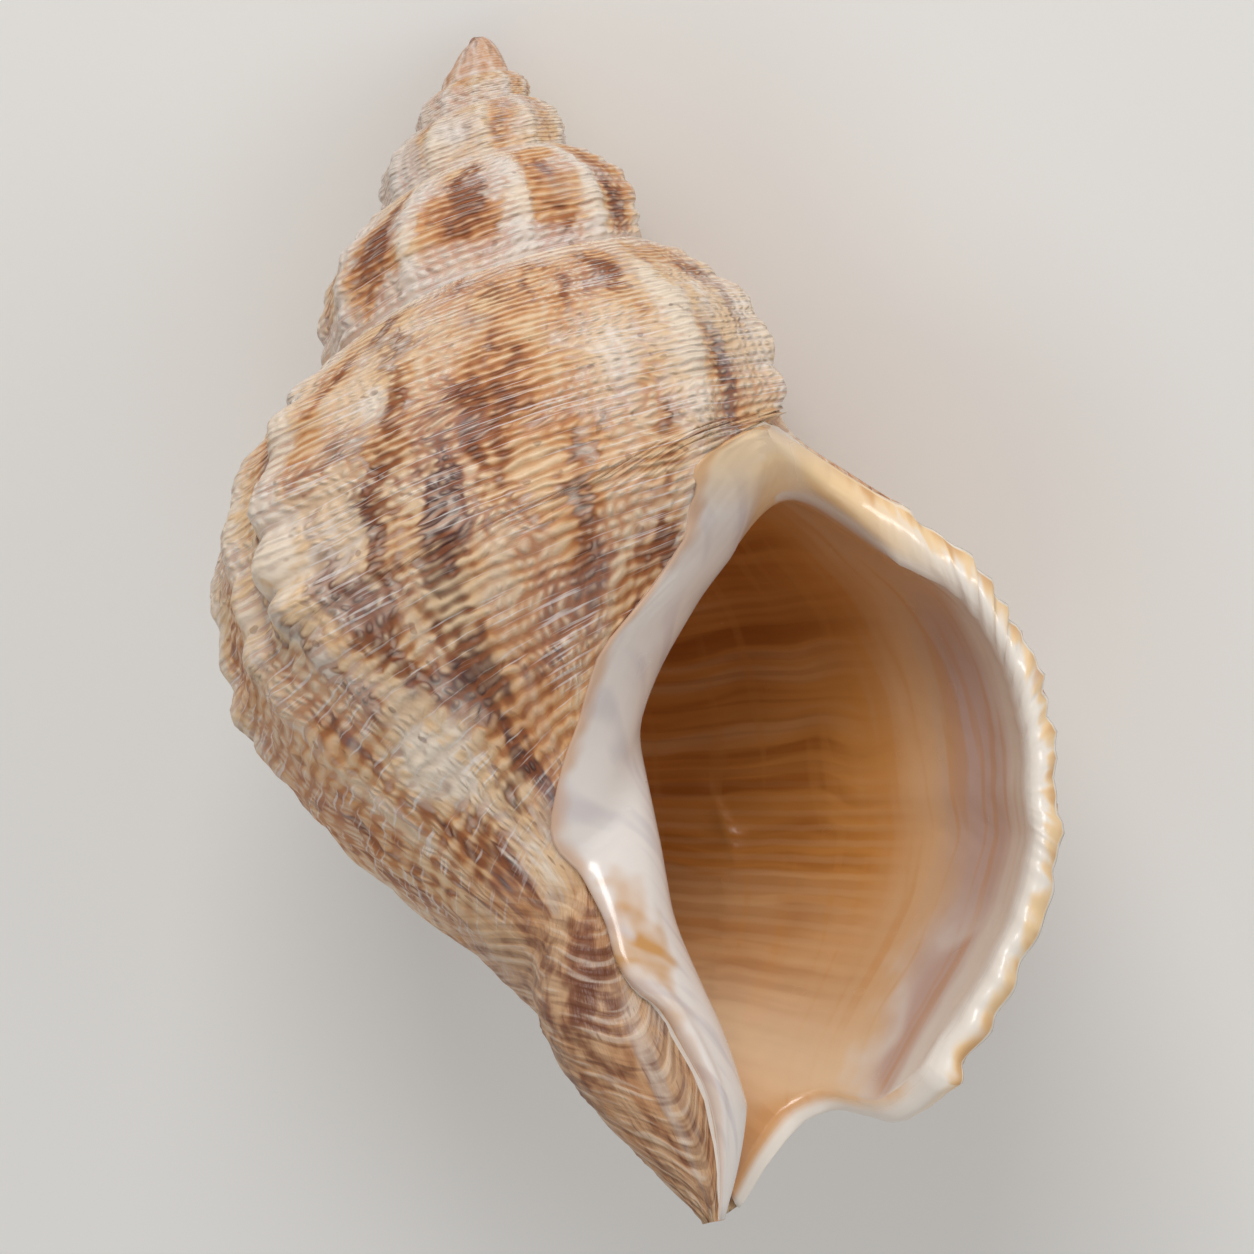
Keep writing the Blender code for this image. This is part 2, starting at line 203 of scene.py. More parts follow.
# relief as a share of the radius: ribs, the old lip, which drops steeply on its younger
# side, cords with knobs where they cross, a beaded cord at the suture, and roughness
def relief(turn, place):
    between = smooth(place / 0.16) * smooth((1.28 - place) / 0.40)
    between = np.where(turn < -1, np.clip(4 * place * (1 - place), 0, 1) ** 0.6, between)
    ends = smooth(place / 0.05) * np.where(turn < -1, smooth((1 - place) / 0.04), 1)
    crest, strength = ribCrest(turn), ribStrength(turn)
    rib = ribs["height"] * (crest - ribs["hollow"]) * strength
    at = pastVarix(turn, place)
    varix = np.exp(-((at / np.where(at > 0, 0.75, 1.5) / ribs["varixWidth"]) ** 2)) * ribs["varixHeight"]
    varix = varix * smooth((place - 0.10) / 0.2) * smooth((1.25 - place) / 0.4)
    young = strength * crest
    onSpire = 1 - smooth((turn + 1.0) / 0.15)
    knobby = np.maximum((0.70 + 0.60 * onSpire) * young, cords["varixKnob"] * varix / ribs["varixHeight"])
    knob = (cordCrest(place) - cords["hollow"]) * (cords["height"] + cords["knob"] * knobby)
    knob = knob * smooth((place - 0.04) / 0.1) * smooth((1.6 - place) / 0.3) * smooth((turn + 5.0) / 1.0)
    beads = 0.6 + 0.4 * np.sin(tau * cords["topBeads"] * turn * np.exp(0.45 * turn) + 6 * place)
    topCord = cords["topCord"] * hump(place, cords["topPlace"], 0.035) * beads * smooth((turn + 4) / 1.5)
    rough = cords["unevenness"] * unevenness(turn, place) + cords["pebbles"] * pebbles(turn, place)
    rough = rough * smooth((1.6 - place) / 0.3) * smooth((turn + 5.2) / 1.0)
    return ((rib + varix) * between + knob + rough + topCord) * ends


# distance from the axis of the whorl alone: cone times one plus swelling and relief,
# drawn in towards the lip, whose edge is scalloped by crossing waves
def bodyRadius(turn, height, detail):
    place = placeOnWhorl(turn, height)
    lip = np.clip(1 + turn / coil["pinchTurn"], 0, 1) ** 2
    pinch = coil["lipPinch"] * smooth((place - 1.1) / 0.26) + coil["shoulderPinch"] * hump(place, 0.3, 0.25)
    sag = hump(place, 0.97 + 0.03 * lip, 0.17 - 0.04 * lip) * (1 + 0.25 * lip)
    sag = coil["bodySag"] * sag * smooth((turn + 1) / 0.35)
    swell = spline(outlinePlace, outlineSwell, place) + detail * relief(turn, place)
    radius = coneRadius(height) * np.maximum(1 + swell - pinch * lip - sag, 0)
    wave = np.cos(tau * (cords["lipScallops"] * place + 0.35 * np.sin(9 * place)))
    scallop = cords["lipScallopDepth"] * (wave - 0.3)
    scallop = scallop + 0.07 * np.sin(47 * place + 1) + 0.12 * np.sin(19 * place)
    nearLip = np.exp(np.minimum(turn, 0) / cords["lipScallopReach"])
    return radius + detail * scallop * nearLip * smooth(place / 0.1)


# the pillar: a slim neck that swells into the foot and draws in to the tip
def pillarRadius(turn, height):
    down = np.clip((height - pillar["footTop"]) / (pillar["tipHeight"] - pillar["footTop"]), 0, 1)
    foot = pillar["footRadius"] * (1 - down * down) ** 0.9
    away = 0.5 - 0.5 * np.cos(tau * turn)
    neck = pillar["radius"] * np.clip(height / pillar["topHeight"], 0, 1) ** 0.9
    grown = smooth((height - pillar["footStart"]) / pillar["footFlare"])
    lipSide = smooth((height - pillar["lipSideStart"]) / pillar["lipSideFlare"])
    swollen = neck + away * (pillar["footRadius"] - pillar["radius"]) * grown
    return np.minimum(foot, swollen + (1 - away) * (pillar["lipSideRadius"] - pillar["radius"]) * lipSide)


# distance of the outside from the axis: the larger of whorl and pillar, with a soft hollow between
def outerRadius(turn, height, detail=1.0):
    a = bodyRadius(turn, height, detail)
    b = pillarRadius(turn, height)
    h = np.clip(0.5 + 0.5 * (a - b) / pillar["blend"], 0, 1)
    return b + (a - b) * h + pillar["blend"] * h * (1 - h)


# height of the last whorl's lower edge: the curve through the given heights
def footEdge(turn):
    return spline(footEdgeTurn, footEdgeHeight, turn)


# turn, height and radius made a point, the axis leaning towards the lip at the tip
def spot(turn, height, radius):
    along = (height - pillar["leanStart"]) / (pillar["leanEnd"] - pillar["leanStart"])
    lean = pillar["lean"] * smooth(along) + pillar["apexLean"] * smooth(1 - height / pillar["apexReach"])
    angle = tau * turn
    return np.stack([lean + radius * np.cos(angle), radius * np.sin(angle), height + 0 * radius], axis=-1)


# the first whorl's edges start from the apex and grow into the sutures
def edgeHeight(turn):
    grown = smooth(turn + coil["turns"])
    return coil["apexHeight"] + (sutureHeight(turn + 1) - coil["apexHeight"]) * grown


# radius of those edges: the cone times a quarter sine wave over the first turn
def edgeRadius(turn):
    return coneRadius(edgeHeight(turn)) * np.sin(np.clip(turn + coil["turns"], 0, 1) * np.pi / 2)


# height of the last whorl's lower edge before it becomes the base: the suture's line, raised
# where the glaze spreads above it beside the lip
def baseTop(turn):
    lift = mouth["cornerLift"] * smooth((turn + 1) / 0.05) * smooth((-0.76 - turn) / 0.10)
    return sutureHeight(turn + 1) * np.exp(-lift)


# one whorl from its suture to the next, at these turns; the first ones are a small dome
def whorlPoints(turn, rows):
    share = np.linspace(0, 1, rows + 1)[None, :]
    above = np.maximum(turn - 1, -coil["turns"])
    isLast = rows == meshSize["spireRows"][-1]
    lower = edgeHeight(turn)
    if isLast:
        lower = np.where(turn + 0 * share >= -1, baseTop(turn), lower)
    height = edgeHeight(above) ** (1 - share) * lower ** share
    radius = outerRadius(turn + 0 * share, height)
    domeHeight = mixed(edgeHeight(above), edgeHeight(turn), share ** 1.3)
    domeRadius = mixed(edgeRadius(above), edgeRadius(turn), share ** 0.5)
    grown = smooth(turn + coil["turns"] - 1)
    place = placeOnWhorl(turn, height) if isLast else share + 0 * turn
    return spot(turn + 0 * share, mixed(domeHeight, height, grown), mixed(domeRadius, radius, grown)), place


# shares of the way down the last whorl's base, crowded towards its top by a power
def lowerShares():
    return np.linspace(0, 1, meshSize["lowerRows"] + 1) ** meshSize["crowding"]


# how far the glaze spreads, in turns: the curve through the given spreads
def spread(share):
    return spline(glazeShare, glazeSpread, share)


# 1 where the glaze's edge stands free of the base, below the middle of the mouth
def freeEdge(share):
    return smooth((share - 0.43) / 0.06) * smooth((1.02 - share) / 0.12)


footShape = {
    "grooveDepth": 0.55, "grooveWidth": 1.5,
    "bulge": 0.7, "bulgeHeight": 74, "bulgeTurn": -0.62,
    "ridgeDepth": 0.10, "ridgeSpacing": 2.9, "ridgeTurn": -0.725, "ridgeLean": 0.07,
    "ridgeTop": 60, "ridgeEnd": 87.2,
}


# last whorl below the suture's line: a bell-shaped groove runs beside the glaze's free edge,
# and curved growth ridges, a bent sine wave, cross the foot
def basePoints():
    along = np.linspace(0, 1, meshSize["steps"] + 1)[:, None]
    share = lowerShares()[None, :]
    turn = along - 1 + spread(share) * (1 - along) ** meshSize["fade"]
    top = baseTop(turn)
    height = top + (footEdge(turn) - top) * share
    place = placeOnWhorl(turn, height)
    radius = outerRadius(turn, height)
    beside = (turn + 1 - spread(share)) * tau * radius
    groove = footShape["grooveDepth"] * np.exp(-((beside / footShape["grooveWidth"]) ** 2)) * freeEdge(share)
    ridge = lamellaPhase(turn, height)
    wave = np.sin(ridge * tau / footShape["ridgeSpacing"] + 1.2 * np.sin(ridge))
    ridges = footShape["ridgeDepth"] * wave * footMask(turn, height)
    bulge = footShape["bulge"] * hump(height, footShape["bulgeHeight"], 7)
    bulge = bulge * hump(turn, footShape["bulgeTurn"], 0.16)
    return turn, height, place, radius - groove + ridges + bulge


# growth ridges of the foot: each is a U round a line that leans down the foot
def lamellaPhase(turn, height):
    off = turn - (footShape["ridgeTurn"] - footShape["ridgeLean"] * (height - 71.8) / 14.2)
    return height + np.where(off > 0, 70, 130) * off * off / (0.25 + 2.2 * np.abs(off))


# 1 on the foot, where those ridges run, and 0 above, beside and at the tip
def footMask(turn, height):
    ends = smooth((height - footShape["ridgeTop"]) / 7) * smooth((footShape["ridgeEnd"] - height) / 1.5)
    return ends * smooth((-0.3 - turn) / 0.12)


# thickness, growing towards the lip, where the shoulder is the thickest
def wallAt(turn, place):
    grown = mouth["wall"] * np.exp(mouth["wallGrowth"] * turn)
    shoulder = mouth["shoulderWall"] * hump(place, 0.24, 0.17)
    shoulder = shoulder + mouth["footWall"] * smooth((place - 1.2) / 0.2)
    return grown + (mouth["lipWall"] + shoulder) * np.exp(np.minimum(turn, 0) / mouth["lipWidth"])


# inner side of the hollow: the whorl before, seen through its glaze
def innerRadius(core, height, glaze):
    return outerRadius(core, height, mouth["glazeRelief"]) + glaze * tipTaper(height)


# 1, falling to 0.15 where the glaze thins out on the last millimetres of the pillar
def tipTaper(height):
    return 1 - 0.85 * smooth((height - 74) / 12)


# thickness of the glaze: thin deep down and full at the lip
def glazeAt(turn):
    return mixed(mouth["deepGlaze"], mouth["glaze"], smooth((turn + mouth["glazeTurn"]) / mouth["glazeTurn"]))


# 1 inside and falling to 0 at the end, along a quarter circle
def rounded(distance):
    return np.sqrt(1 - (1 - np.clip(distance / mouth["corner"], 0, 1)) ** 2)


# outer side of the hollow at one turn: the outside moved in by the wall along its normal
def hollowOutline(turn, shut):
    lowest = footEdge(turn)
    place = np.linspace(0, mouth["hollowEnd"] if shut else footPlace, meshSize["outlineRows"])
    height = sutureHeight(turn) ** (1 - place) * sutureHeight(turn + 1) ** place
    height = height if shut else np.append(height[height <= lowest], lowest)
    height = height[height <= lowest]
    radius = outerRadius(turn + 0 * height, height, 0.22 * smooth((turn + 0.25) / 0.2))
    slope = np.gradient(radius, height)
    length = np.sqrt(1 + slope * slope)
    thick = wallAt(turn, placeOnWhorl(turn, height))
    wallHeight = height + thick * slope / length
    wallRadius = radius - thick / length
    order = np.argsort(wallHeight)
    return wallHeight[order], wallRadius[order]


# both sides of the hollow at one turn, from the top down: half the gap to each side of its
# middle, rounded at the ends; near the lip it stays open below, for the canal
def hollowColumn(turn, shut):
    wallHeight, wallRadius = hollowOutline(turn, shut)

    def outer(height):
        return np.interp(height, wallHeight, wallRadius)

    def inner(height):
        return innerRadius(turn - 1 + 0 * height, height, glazeAt(turn))

    fine = np.linspace(sutureHeight(turn), wallHeight[-1], meshSize["searchRows"])
    least = mouth["leastGap"] + mouth["topGap"] * np.exp(np.minimum(turn, 0) / 0.07)
    openAt = np.nonzero(outer(fine) - inner(fine) > least)[0]
    top = fine[openAt[0]]
    end = min(wallHeight[-1], fine[openAt[-1]]) if shut else wallHeight[-1]
    opened = 0 if shut else smooth((turn + lipTurns) / mouth["canalOpening"])
    downIn = lowerShares()
    upper = meshSize["upperShare"]
    downOut = np.concatenate([upper * np.linspace(0, 1, meshSize["spireRows"][-1] + 1)[:-1],
                              upper + (1 - upper) * downIn])
    sides = []
    for down, low, sign in ((downOut, end, 1), (downIn, mixed(end, pillar["tipCut"], opened), -1)):
        height = top + (low - top) * down
        near = np.minimum(height, end)
        middle = (inner(near) + outer(near)) / 2
        half = np.maximum(outer(near) - inner(near), 0.2) / 2
        radius = middle + sign * half * rounded(down) * (rounded(1 - down) if shut else 1)
        radius = np.where(height > end, inner(height), radius)
        place = placeOnWhorl(turn, height)
        sides.append((spot(turn + 0 * height, height, radius), place))
    return sides[0], sides[1], top


# glaze over the last whorl's front: thick at the pillar, thin and rounded at its edge,
# with a raised free edge below
def glazePoints(topDrop):
    across = np.linspace(0, 1, meshSize["glazeColumns"] + 1)[1:, None]
    across = 1 - (1 - across) ** 1.5
    share = lowerShares()[None, :]
    turn = -1 + spread(share) * across
    top = baseTop(turn) + topDrop * (1 - across) ** 2
    height = top + (footEdge(turn) - top) * share
    edge = mouth["glazeEdge"] + mouth["freeEdge"] * freeEdge(share)
    thick = mixed(mouth["glaze"], edge, smooth(across)) * (0.5 + 0.5 * smooth(share / 0.12))
    thick = thick + 0.25 * freeEdge(share) * hump(across, 0.86, 0.10)
    roundEdge = 0.25 + 0.75 * np.sqrt(1 - np.clip((across - 0.93) / 0.07, 0, 1) ** 2)
    wavy = 0.10 * np.sin(31 * share + 2) * smooth(across)
    radius = outerRadius(turn, height, mouth["glazeRelief"] + 0.5 * across ** 2)
    radius = radius + (thick + wavy) * roundEdge * tipTaper(height)
    return spot(turn, height, radius), height, across + 0 * share, share


# the shell at rest on its back, apex towards +Y: the direction that points up, in the
# shell's own axes, and the millimetres that its middle is moved by
rest = {"up": (-0.2245, 0.8197, 0.5270), "middle": (3.285, -38.284)}


# rows that turn the shell's own axes to its rest: across, from canal to apex, and up
def restAxes():
    up = np.array(rest["up"]) / np.linalg.norm(rest["up"])
    ahead = np.array([0, 0, -1.0])
    ahead -= up * (ahead @ up)
    ahead /= np.linalg.norm(ahead)
    return np.array([np.cross(ahead, up), ahead, up])


# Marks that stand at one place on the shell: turn, place, half sizes, strength
marks = {
    "dark": [
        (-0.706, 0.66, 0.014, 0.12, 1.0), (-0.699, 0.92, 0.016, 0.15, 1.1),
        (-0.686, 1.13, 0.018, 0.13, 1.2), (-0.678, 1.29, 0.026, 0.050, 1.4),
        (-0.738, 0.22, 0.016, 0.12, 0.8), (-0.770, 1.325, 0.07, 0.018, 1.0),
        (-0.673, 1.44, 0.020, 0.05, 1.0), (-0.640, 1.46, 0.018, 0.04, 0.7),
        (-0.645, 0.63, 0.014, 0.07, 1.0), (-0.650, 0.82, 0.012, 0.08, 0.9),
        (-0.885, 0.78, 0.010, 0.30, 1.0), (-0.583, 0.70, 0.008, 0.50, 1.0),
        (-0.680, 1.85, 0.050, 0.070, 0.9), (-0.720, 1.90, 0.020, 0.05, 0.8), (-0.70, 2.10, 0.02, 0.05, 0.5),
        (-1.895, 0.62, 0.010, 0.30, 0.6),
    ],
    "brown": [
        (-0.820, 0.25, 0.030, 0.07, 0.6), (-0.765, 0.58, 0.020, 0.10, 0.4),
        (-0.800, 1.22, 0.050, 0.08, 1.0), (-0.695, 0.86, 0.032, 0.30, 1.0),
        (-0.620, 1.20, 0.012, 0.04, 1.0), (-0.596, 1.04, 0.014, 0.10, 0.7),
        (-0.655, 1.02, 0.012, 0.12, 0.6), (-0.925, 0.55, 0.016, 0.30, 0.8),
        (-0.755, 1.24, 0.030, 0.08, 0.9), (-1.722, 0.50, 0.026, 0.36, 1.2),
        (-1.625, 0.60, 0.016, 0.30, 1.0), (-1.900, 0.50, 0.018, 0.40, 0.9),
        (-2.600, 0.55, 0.025, 0.30, 0.8), (-0.665, 1.78, 0.035, 0.08, 1.1), (-0.580, 1.76, 0.03, 0.10, 0.5),
        (-0.755, 2.05, 0.010, 0.10, 0.6), (-0.592, 0.62, 0.006, 0.20, 1.0),
        (-0.600, 0.30, 0.008, 0.10, 0.8), (-0.640, 1.12, 0.010, 0.16, 0.8),
        (-0.628, 0.78, 0.007, 0.16, 0.9), (-0.664, 1.26, 0.014, 0.05, 0.9),
        (-0.574, 1.05, 0.010, 0.30, 0.9), (-0.605, 1.12, 0.006, 0.20, 0.7),
    ],
    "grey": [
        (-0.636, 1.235, 0.012, 0.035, 1.2), (-0.573, 1.226, 0.012, 0.04, 1.0),
        (-0.735, 0.32, 0.020, 0.14, 0.9), (-0.888, 0.66, 0.013, 0.36, 0.9),
        (-1.822, 0.55, 0.020, 0.32, 1.0), (-0.720, 1.16, 0.020, 0.08, 0.8),
        (-0.588, 0.62, 0.012, 0.35, 0.6), (-0.560, 1.50, 0.030, 0.06, 0.8),
        (-0.735, 2.02, 0.012, 0.12, 1.1), (-0.67, 1.52, 0.02, 0.05, 0.7),
    ],
    "pale": [
        (-0.670, 0.52, 0.008, 0.08, 1.1), (-0.612, 1.34, 0.034, 0.055, 1.3),
        (-0.857, 0.50, 0.008, 0.24, 1.0), (-0.800, 0.66, 0.035, 0.20, 0.8),
        (-0.699, 0.82, 0.004, 0.10, 0.5), (-0.748, 2.05, 0.020, 0.16, 1.1),
        (-0.612, 0.55, 0.010, 0.30, 0.35), (-1.663, 0.55, 0.010, 0.40, 1.0),
        (-1.778, 0.55, 0.011, 0.40, 1.0), (-1.866, 0.50, 0.009, 0.40, 0.8), (-2.700, 0.60, 0.03, 0.30, 0.7),
        (-0.820, 1.92, 0.03, 0.25, 0.7), (-0.620, 1.58, 0.03, 0.05, 0.6),
    ],
}


# strength of one tone's marks: bell shaped patches on turn and place, added up to 1.5 at most
def markField(tone, turn, place):
    total = np.zeros(np.broadcast(turn, place).shape)
    for atTurn, atPlace, halfTurn, halfPlace, strength in marks[tone]:
        total += strength * hump(turn, atTurn, halfTurn) * hump(place, atPlace, halfPlace)
    return np.minimum(total, 1.5)


# millimetres on the skin: girth of the last turn against its suture's, and drop of one whorl
skin = {"girth": 1.15, "growth": 0.6, "drop": 33, "dropGrowth": 0.62}


# along: mm of growth up to this turn; across: mm down the whorl; both are powers of e
def skinLengths(turn, place):
    along = tau * coil["sutureRadius"] * skin["girth"] / skin["growth"] * np.exp(skin["growth"] * turn)
    return along, place * skin["drop"] * np.exp(skin["dropGrowth"] * turn)


# turn and place side by side, as the two coordinates of a corner
def pairs(turn, place):
    return np.stack(np.broadcast_arrays(turn, place), axis=-1)


class Build:  # gathers grids of points, and triangles with their own corner coordinates
    def __init__(self):
        self.points, self.values, self.triangles, self.corners, self.kinds = [], [], [], [], []
        self.taken = 0

    # adds points and gives their numbers; each carries the values that the finishes read
    def add(self, points, **values):
        shape = points.shape[:-1]
        ids = self.taken + np.arange(int(np.prod(shape))).reshape(shape)
        self.taken += ids.size
        self.points.append(points.reshape(-1, 3))
        self.values.append({key: np.broadcast_to(value, shape).reshape(-1) for key, value in values.items()})
        return ids

    # keeps the triangles whose three points differ
    def keep(self, faces, corners, kind):
        whole = (faces[:, 0] != faces[:, 1]) & (faces[:, 1] != faces[:, 2]) & (faces[:, 0] != faces[:, 2])
        self.triangles.append(faces[whole])
        self.corners.append(corners[whole])
        self.kinds.append(np.full(whole.sum(), kind))

    # two triangles in each cell of a grid; turn and place are kept for each corner
    def grid(self, ids, coords, kind):
        for second, third in (((1, 0), (1, 1)), ((1, 1), (0, 1))):
            faces, corners = [], []
            for down, over in ((0, 0), second, third):
                rows = slice(down, len(ids) - 1 + down)
                columns = slice(over, ids.shape[1] - 1 + over)
                faces.append(ids[rows, columns])
                corners.append(coords[rows, columns])
            corners = np.stack(corners, axis=-2).reshape(-1, 3, 2)
            self.keep(np.stack(faces, axis=-1).reshape(-1, 3), corners, kind)

    # triangles between two rows of points with different counts: the steps along both rows
    # are put in order of their share of the way, and each step adds one triangle
    def stitch(self, a, b, coordsA, coordsB, kind):
        shares = [np.arange(1, len(row)) / (len(row) - 1) for row in (a, b)]
        onA = np.argsort(np.concatenate(shares), kind="stable") < len(a) - 1
        i, j = np.cumsum(onA) - onA, np.cumsum(~onA) - ~onA
        nextA, nextB = np.minimum(i + 1, len(a) - 1), np.minimum(j + 1, len(b) - 1)
        faces = np.stack([a[i], np.where(onA, a[nextA], b[nextB]), b[j]], axis=1)
        middle = np.where(onA[:, None], coordsA[nextA], coordsB[nextB])
        self.keep(faces, np.stack([coordsA[i], middle, coordsB[j]], axis=1), kind)


outside, inside = 0, 1  # which finish a face takes
# the rim's front in mm and shares of its width, the turn that colours it, and its waves
lipRim = {
    "widest": 3.2, "bulge": 0.42, "roundness": 0.8, "turn": 0.03,
    "crimps": 61, "sways": 23, "ripples": 150,
}
canal = {"edgePlace": 1.5, "end": (-0.13, 1.6), "glazeTurn": 0.3}  # turns and places that colour it


# what the outside's finish reads: rib crests with the old lip's, marks of each tone, growth
# ridges with the foot's mask, and the worn edge at the suture
def outsideValues(turn, place, height):
    crest = ribCrest(turn) * ribStrength(turn)
    varix = np.exp(-((pastVarix(turn, place) / 0.012) ** 2)) * smooth((1.3 - place) / 0.4)
    return {
        "rib": np.maximum(crest, varix) * smooth((1.5 - place) / 0.4),
        **{tone: markField(tone, turn, place) for tone in marks},
        "lamella": lamellaPhase(turn, height), "foot": footMask(turn, height),
        "topEdge": hump(place, 0.03, 0.05) + np.where(turn < -1, hump(place, 1.0, 0.03), 0),
    }


# rows between two edges: the straight line across plus a rounded front, a power of a sine
def rimRows(outer, inner, over, forward):
    width = np.minimum(np.linalg.norm(outer - inner, axis=-1), lipRim["widest"])[None, :, None]
    front = lipRim["bulge"] * width * np.sin(np.pi * over) ** lipRim["roundness"] * forward
    return outer[None] * (1 - over) + inner[None] * over + front


# the whorls down to the line of the suture, each starting where the one before it ended;
# gives the last one's points
def addWhorls(made):
    steps = meshSize["steps"]
    before = None
    for whorl, rows in enumerate(meshSize["spireRows"]):
        turn = (np.arange(steps + 1) / steps + whorl - coil["turns"])[:, None]
        points, place = whorlPoints(turn, rows)
        coords = pairs(turn, place)
        ids = made.add(points, **outsideValues(turn, place, points[..., 2]))
        if before is None:
            ids[0, :] = ids[0, 0]
            ids[:, 0] = ids[0, 0]
            made.grid(ids, coords, outside)
        else:
            ids[:, 0] = before[:, -1]
            made.grid(ids[1:], coords[1:], outside)
            beforeCoords = pairs(turn[0], np.linspace(0, 1, len(before[-1])))
            made.stitch(before[-1], ids[1], beforeCoords, coords[1], outside)
            ids[0, -1] = before[-1, -1]
        before = ids
    return before


# the last whorl below that line; gives its points
def addBase(made, whorl):
    turn, height, place, radius = basePoints()
    base = made.add(spot(turn, height, radius), **outsideValues(turn, place, height))
    base[:, 0] = whorl[:, -1]
    made.grid(base, pairs(turn, place), outside)
    return base


# the outer side of the hollow; gives the points and coordinates of both sides and the
# height of its top at the lip
def addHollow(made):
    outerSide, innerSide, outerCoords, innerCoords = [], [], [], []
    for step in range(-meshSize["hollowColumns"], 1):
        at = step / meshSize["hollowSteps"]
        shut = step <= -meshSize["openColumns"]
        (outPoints, outPlace), (inPoints, inPlace), top = hollowColumn(at, shut)
        outIds = made.add(outPoints)
        inIds = made.add(inPoints, pillarSide=1.0, share=lowerShares())
        inIds[0] = outIds[0]
        if shut:
            inIds[-1] = outIds[-1]
        outerSide.append(outIds)
        innerSide.append(inIds)
        outerCoords.append(pairs(at, outPlace))
        innerCoords.append(pairs(at, inPlace))
    outerSide, outerCoords = np.array(outerSide), np.array(outerCoords)
    made.grid(outerSide, outerCoords, inside)
    return outerSide, outerCoords, np.array(innerSide), np.array(innerCoords), top


# rim of the lip: rows from the outer edge over a rounded, uneven front to the hollow; its
# first column is the glaze's edge column
def addRim(made, lipOut, lipIn, glazeColumn, over):
    allPoints = np.concatenate(made.points)
    down = np.linspace(0, 1, len(lipOut))[None, :, None]
    lowEnd = smooth((down - 0.9) / 0.1)
    forward = np.array([0, 1.0, 0]) * (1 - 0.4 * lowEnd) + np.array([0, 0, 0.7]) * lowEnd
    rimPoints = rimRows(allPoints[lipOut], allPoints[lipIn], over, forward * smooth(down / 0.10))
    sway = lipRim["sways"] * down
    uneven = 1 + 0.12 * np.sin(lipRim["crimps"] * down) * (1 - over) + 0.10 * np.sin(sway + 1)
    uneven = uneven + 0.09 * np.sin(lipRim["ripples"] * down + 2 * np.sin(sway)) * (1 - over) ** 0.5
    middle = allPoints[lipOut] * (1 - over) + allPoints[lipIn] * over
    rimPoints = middle + (rimPoints - middle) * uneven
    rimPoints += (glazeColumn - rimPoints[:, 0])[:, None] * (1 - smooth(down / 0.14))
    onLip = smooth(down[..., 0] / 0.06)
    rim = made.add(rimPoints, pillarSide=1 - onLip, rim=(1 - over[..., 0]) * onLip)
    rim = np.concatenate([lipOut[None], rim, lipIn[None]])
    lipPlace = placeOnWhorl(0, allPoints[lipOut][:, 2])
    rimTurn = lipRim["turn"] * np.linspace(1, 0, len(rim))[:, None]
    made.grid(rim, pairs(rimTurn, lipPlace), inside)
    return rim


# lower edge of the lip along the canal, rounded like the rim; gives its last column
def addCanalEdge(made, footOut, edgeIn, rim, over):
    allPoints = np.concatenate(made.points)
    turned = smooth(np.linspace(0, 1, len(edgeIn)) / 0.3)[None, :, None]
    downward = np.array([0, 0.6, 0.7]) * (1 - turned) + np.array([0, 0, 1.0]) * turned
    edgePoints = rimRows(allPoints[footOut[::2]], allPoints[edgeIn], over, downward)
    edge = made.add(edgePoints, rim=(1 - over[..., 0]) * (1 - 0.3 * turned[..., 0]))
    edge[:, 0] = rim[1:-1, -1]
    edge = np.concatenate([edge, edgeIn[None]])
    coords = pairs(np.linspace(0, -lipTurns, len(edgeIn)), canal["edgePlace"] + 0 * edge)
    made.grid(edge, coords, inside)
    footTurn = -np.arange(len(footOut)) / meshSize["steps"]
    made.stitch(footOut, edge[0], pairs(footTurn, canal["edgePlace"]), coords[0], inside)
    return edge[:-1, -1]


# the whole closed surface: whorls, base, hollow, glaze, rim and canal end
def shellSurface():
    made = Build()
    whorl = addWhorls(made)
    base = addBase(made, whorl)
    outerSide, outerCoords, innerSide, innerCoords, top = addHollow(made)
    points, height, across, share = glazePoints(top - coil["sutureHeight"])
    glaze = made.add(points, pillarSide=1.0, glazeAcross=across, share=share)

    over = np.linspace(0, 1, meshSize["rimRows"] + 1)[1:-1, None, None]
    lipOut = np.concatenate([whorl[-1], base[-1, 1:]])
    rim = addRim(made, lipOut, outerSide[-1], points[::2, 0][::-1][1:], over)
    glaze[:, 0] = rim[(len(glaze) - 1 - np.arange(len(glaze))) // 2, 0]
    innerSide = np.concatenate([innerSide, glaze])
    glazeCoords = pairs(across * canal["glazeTurn"], placeOnWhorl(0 * height, height))
    innerCoords = np.concatenate([innerCoords, glazeCoords])
    made.grid(innerSide, innerCoords, inside)
    made.stitch(outerSide[0], innerSide[0], outerCoords[0], innerCoords[0], inside)

    # canal: its edge beside the lip, its end, and the seam of glaze and base
    split = meshSize["hollowColumns"] - meshSize["openColumns"]
    cut = 2 * meshSize["openColumns"]
    footOut = base[::-1, -1]
    edgeEnd = addCanalEdge(made, footOut[:cut + 1], outerSide[split:, -1][::-1], rim, over)
    endIds = np.concatenate([edgeEnd, innerSide[split:, -1]])
    end = np.tile(canal["end"], (len(footOut) + len(endIds), 1))
    made.stitch(footOut[cut:], endIds, end, end, inside)
    seam = pairs(canal["glazeTurn"], innerCoords[[-1, -1], :, 1])
    made.grid(np.array([base[0], innerSide[-1]]), seam, inside)
    return made


# the corner in the shell's own axes, how far the softening reaches, and how many times it runs
corner = {"centre": (19.5, 1.0, 35.5), "reach": 9.5, "outerReach": 6.5, "outerShare": 0.35, "times": 70}


